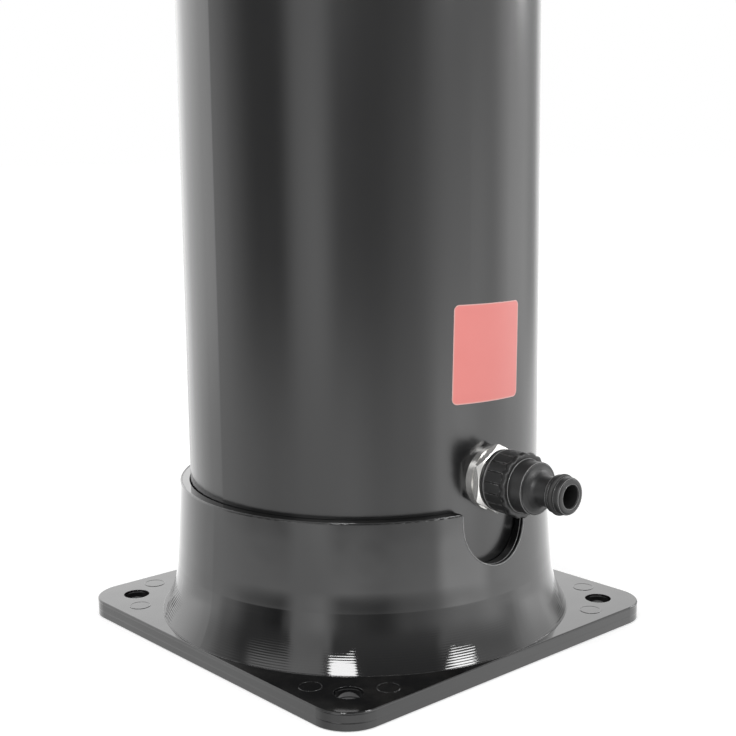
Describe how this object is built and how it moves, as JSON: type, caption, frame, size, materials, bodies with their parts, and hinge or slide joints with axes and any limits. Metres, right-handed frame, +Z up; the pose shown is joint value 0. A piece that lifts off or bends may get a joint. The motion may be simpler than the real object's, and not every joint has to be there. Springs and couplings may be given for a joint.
{
  "type": "solar outdoor shower",
  "caption": "Free-standing solar shower: a tall black water column on a square screw-down foot, with a rear hose inlet, lever mixer, gooseneck arm and tilting round head.",
  "frame": {"origin": "middle of the foot plate's underside, on the water column's axis", "axes": "+Z up the column, +Y towards the hose inlet at the back, -Y towards the mixer and the shower head"},
  "size_m": [0.1904, 0.4088, 2.173],
  "materials": {
    "base_plastic": "moulded gloss black",
    "tank_plastic": "extruded semi-gloss dark grey",
    "black_plastic": "fine moulded satin",
    "adaptor_plastic": "matt glass-filled moulding",
    "nickel": "bright nickel",
    "chrome": "polished chrome",
    "brass": "turned",
    "steel": "plated",
    "rubber": "matt",
    "silicone": "soft matt",
    "pipe_plastic": "extruded",
    "cartridge_plastic": "moulded",
    "ceramic": "lapped",
    "cap_plastic": "moulded",
    "face_plastic": "moulded satin grey"
  },
  "bodies": {
    "stand": {"base_flange": "base_plastic", "base_screws": "steel", "column_plug": "black_plastic", "lower_tank": "tank_plastic", "lower_sleeve": "black_plastic", "joint_seal": "rubber", "upper_sleeve": "black_plastic", "joint_ring": "black_plastic", "upper_tank": "tank_plastic", "top_cap": "black_plastic", "inlet_outer_seal": "rubber", "inlet_washer": "nickel", "inlet_nut": "nickel", "inlet_inner_washer": "rubber", "inlet_stub": "nickel", "inlet_tee": "brass", "cold_pipe": "pipe_plastic", "hot_pipe": "pipe_plastic", "mixed_pipe": "pipe_plastic", "mixer_gasket": "rubber", "mixer_saddle": "black_plastic", "mixer_back_plate": "black_plastic", "tail_nuts": "brass", "mixer_body": "chrome", "cartridge_base": "cartridge_plastic", "port_seals": "rubber", "fixed_disc": "ceramic", "cartridge_housing": "cartridge_plastic", "cartridge_ring": "brass", "mixer_dome": "chrome", "outlet_stub": "brass", "outlet_washer": "rubber", "outlet_nut": "brass", "arm_socket": "chrome", "arm_gland": "chrome"},
    "adaptor": {"hose_adaptor": "adaptor_plastic", "adaptor_seal": "rubber", "nipple_ring": "rubber"},
    "carrier": {"carrier": "cartridge_plastic", "pivot_pin": "steel"},
    "shuttle": {"moving_disc": "ceramic"},
    "lever": {"lever": "chrome", "spindle": "brass", "lever_screw": "steel", "lever_cap": "cap_plastic"},
    "arm": {"arm_spigot": "brass", "spigot_rings": "rubber", "arm_tube": "chrome", "arm_tip": "chrome"},
    "ball": {"ball_stub": "chrome", "stem_clip": "steel"},
    "head": {"ball_nut": "chrome", "ball_seat": "rubber", "head_shell": "chrome", "head_face": "face_plastic", "nozzle_mat": "silicone"}
  },
  "joints": [
    {"name": "adaptor_spin", "type": "hinge", "parent": "stand", "child": "adaptor", "pos_m": [0, 0.0942, 0.0808], "axis": [0, 1, 0], "continuous": true},
    {"name": "temperature_turn", "type": "hinge", "parent": "stand", "child": "carrier", "pos_m": [0, -0.1275, 1.25], "axis": [0, -1, 0], "range_deg": [-45, 45]},
    {"name": "flow_lift", "type": "hinge", "parent": "carrier", "child": "lever", "pos_m": [0, -0.1275, 1.25], "axis": [-1, 0, 0], "range_deg": [0, 20]},
    {"name": "disc_slide", "type": "slide", "parent": "carrier", "child": "shuttle", "axis": [0, 0, -1], "range_m": [0, 0.0028]},
    {"name": "arm_swivel", "type": "hinge", "parent": "stand", "child": "arm", "pos_m": [0, 0, 2.058], "axis": [0, 0, 1], "range_deg": [-90, 90]},
    {"name": "ball_spin", "type": "hinge", "parent": "arm", "child": "ball", "pos_m": [0, -0.21, 2.04505], "axis": [0, 0, 1], "continuous": true},
    {"name": "head_tilt", "type": "hinge", "parent": "ball", "child": "head", "pos_m": [0, -0.21, 2.04505], "axis": [1, 0, 0], "range_deg": [-20, 20]}
  ],
  "couplings": [
    {"joint": "disc_slide", "follows": "flow_lift", "m_per_rad": 0.008}
  ]
}
